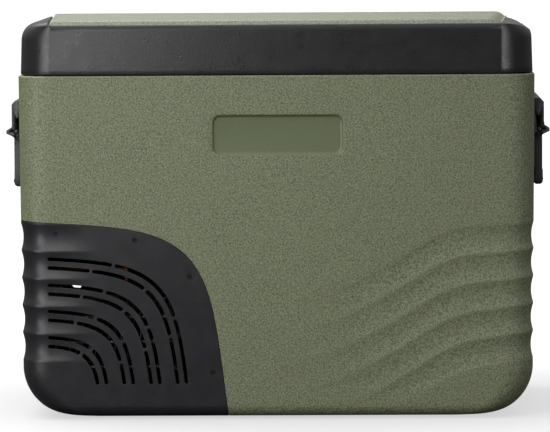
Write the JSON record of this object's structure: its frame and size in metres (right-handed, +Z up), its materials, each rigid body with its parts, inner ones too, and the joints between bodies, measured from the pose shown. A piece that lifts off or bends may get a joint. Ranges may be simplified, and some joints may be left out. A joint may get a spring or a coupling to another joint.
{
  "type": "compressor cooler fridge",
  "caption": "Portable top-opening compressor cooler: insulated tub, hinged lid, fold-out end handles and a vented compressor bay in the lower left end.",
  "frame": {"origin": "on the floor, under the middle of the overall bounding box", "axes": "+X to the right seen from the front, +Y to the rear (lid hinge side), +Z up; the vent cover is at the -X end"},
  "size_m": [0.6124, 0.35, 0.4434],
  "materials": {
    "shell_green": "satin",
    "lid_green": "satin",
    "lid_black": "satin",
    "cover_black": "matte",
    "foam": "matte",
    "liner_grey": "satin",
    "trim_black": "matte",
    "steel": "satin",
    "steel_black": "satin",
    "steel_grey": "satin",
    "copper": "satin",
    "winding": "gloss",
    "rubber": "matte",
    "fin_aluminium": "satin",
    "board_green": "satin",
    "module_grey": "matte",
    "lens_white": "gloss",
    "lens_dark": "gloss",
    "handle_black": "satin",
    "grip_rubber": "matte",
    "wire_coated": "satin",
    "button_red": "satin",
    "button_grey": "satin"
  },
  "bodies": {
    "cabinet": {"outer_shell": "shell_green", "foam_core": "foam", "inner_liner": "liner_grey", "rim_trim": "trim_black", "evaporator_coil": "copper", "bay_wall": "steel_grey", "base_plate": "steel", "compressor_lower_shell": "steel_black", "compressor_upper_shell": "steel_black", "compressor_stator": "winding", "compressor_block": "steel", "compressor_feet": "steel_black", "compressor_grommets": "rubber", "compressor_bolts": "steel", "terminal_cover": "trim_black", "suction_pipe": "copper", "discharge_pipe": "copper", "condenser_coil": "copper", "condenser_fins": "fin_aluminium", "fan_frame": "trim_black", "filter_drier": "copper", "capillary_tube": "copper", "control_module": "module_grey", "dc_socket": "trim_black", "ac_socket": "trim_black", "bay_cover": "cover_black", "bay_cover_screws": "steel", "feet": "rubber", "foot_screws": "steel", "handle_brackets": "handle_black", "handle_pins": "steel", "bracket_screws": "steel", "hinge_body_leaves": "steel_black", "hinge_pins": "steel", "hinge_body_screws": "steel", "interior_light": "lens_white", "wire_basket": "wire_coated", "basket_grips": "grip_rubber"},
    "compressor_crankshaft": {"compressor_rotor": "steel"},
    "fan_rotor": {"fan_impeller": "module_grey", "fan_shaft": "steel"},
    "flap": {"socket_flap": "rubber"},
    "left_handle": {"handle_bail_left": "handle_black", "handle_grip_left": "grip_rubber"},
    "right_handle": {"handle_bail_right": "handle_black", "handle_grip_right": "grip_rubber"},
    "lid": {"lid_frame": "lid_black", "lid_panel": "lid_green", "lid_foam": "foam", "lid_liner": "liner_grey", "lid_gasket": "rubber", "hinge_lid_leaves": "steel_black", "hinge_lid_screws": "steel", "control_bezel": "lens_dark", "display_lens": "lens_dark", "control_board": "board_green"},
    "power_key": {"power_button": "button_red"},
    "settings_key": {"settings_button": "button_grey"},
    "up_key": {"up_button": "button_grey"},
    "down_key": {"down_button": "button_grey"}
  },
  "joints": [
    {"name": "lid_hinge", "type": "hinge", "parent": "cabinet", "child": "lid", "pos_m": [0, 0.1702, 0.3825], "axis": [-1, 0, 0], "range_deg": [0, 95]},
    {"name": "left_handle_swing", "type": "hinge", "parent": "cabinet", "child": "left_handle", "pos_m": [-0.2946, -0.005, 0.316], "axis": [0, 1, 0], "range_deg": [0, 90]},
    {"name": "right_handle_swing", "type": "hinge", "parent": "cabinet", "child": "right_handle", "pos_m": [0.2946, -0.005, 0.316], "axis": [0, -1, 0], "range_deg": [0, 90]},
    {"name": "fan_spin", "type": "hinge", "parent": "cabinet", "child": "fan_rotor", "pos_m": [-0.178, -0.105, 0.075], "axis": [0, 1, 0], "continuous": true},
    {"name": "crankshaft_spin", "type": "hinge", "parent": "cabinet", "child": "compressor_crankshaft", "pos_m": [-0.172, 0.03, 0.06], "axis": [0, 0, 1], "continuous": true},
    {"name": "socket_flap_hinge", "type": "hinge", "parent": "cabinet", "child": "flap", "pos_m": [-0.2, 0.1629, 0.17], "axis": [1, 0, 0], "range_deg": [0, 100]},
    {"name": "power_press", "type": "slide", "parent": "lid", "child": "power_key", "axis": [0.7071, 0, -0.7071], "range_m": [0, 0.001], "stiffness_N_per_m": 400},
    {"name": "settings_press", "type": "slide", "parent": "lid", "child": "settings_key", "axis": [0.7071, 0, -0.7071], "range_m": [0, 0.001], "stiffness_N_per_m": 400},
    {"name": "up_press", "type": "slide", "parent": "lid", "child": "up_key", "axis": [0.7071, 0, -0.7071], "range_m": [0, 0.001], "stiffness_N_per_m": 400},
    {"name": "down_press", "type": "slide", "parent": "lid", "child": "down_key", "axis": [0.7071, 0, -0.7071], "range_m": [0, 0.001], "stiffness_N_per_m": 400}
  ]
}
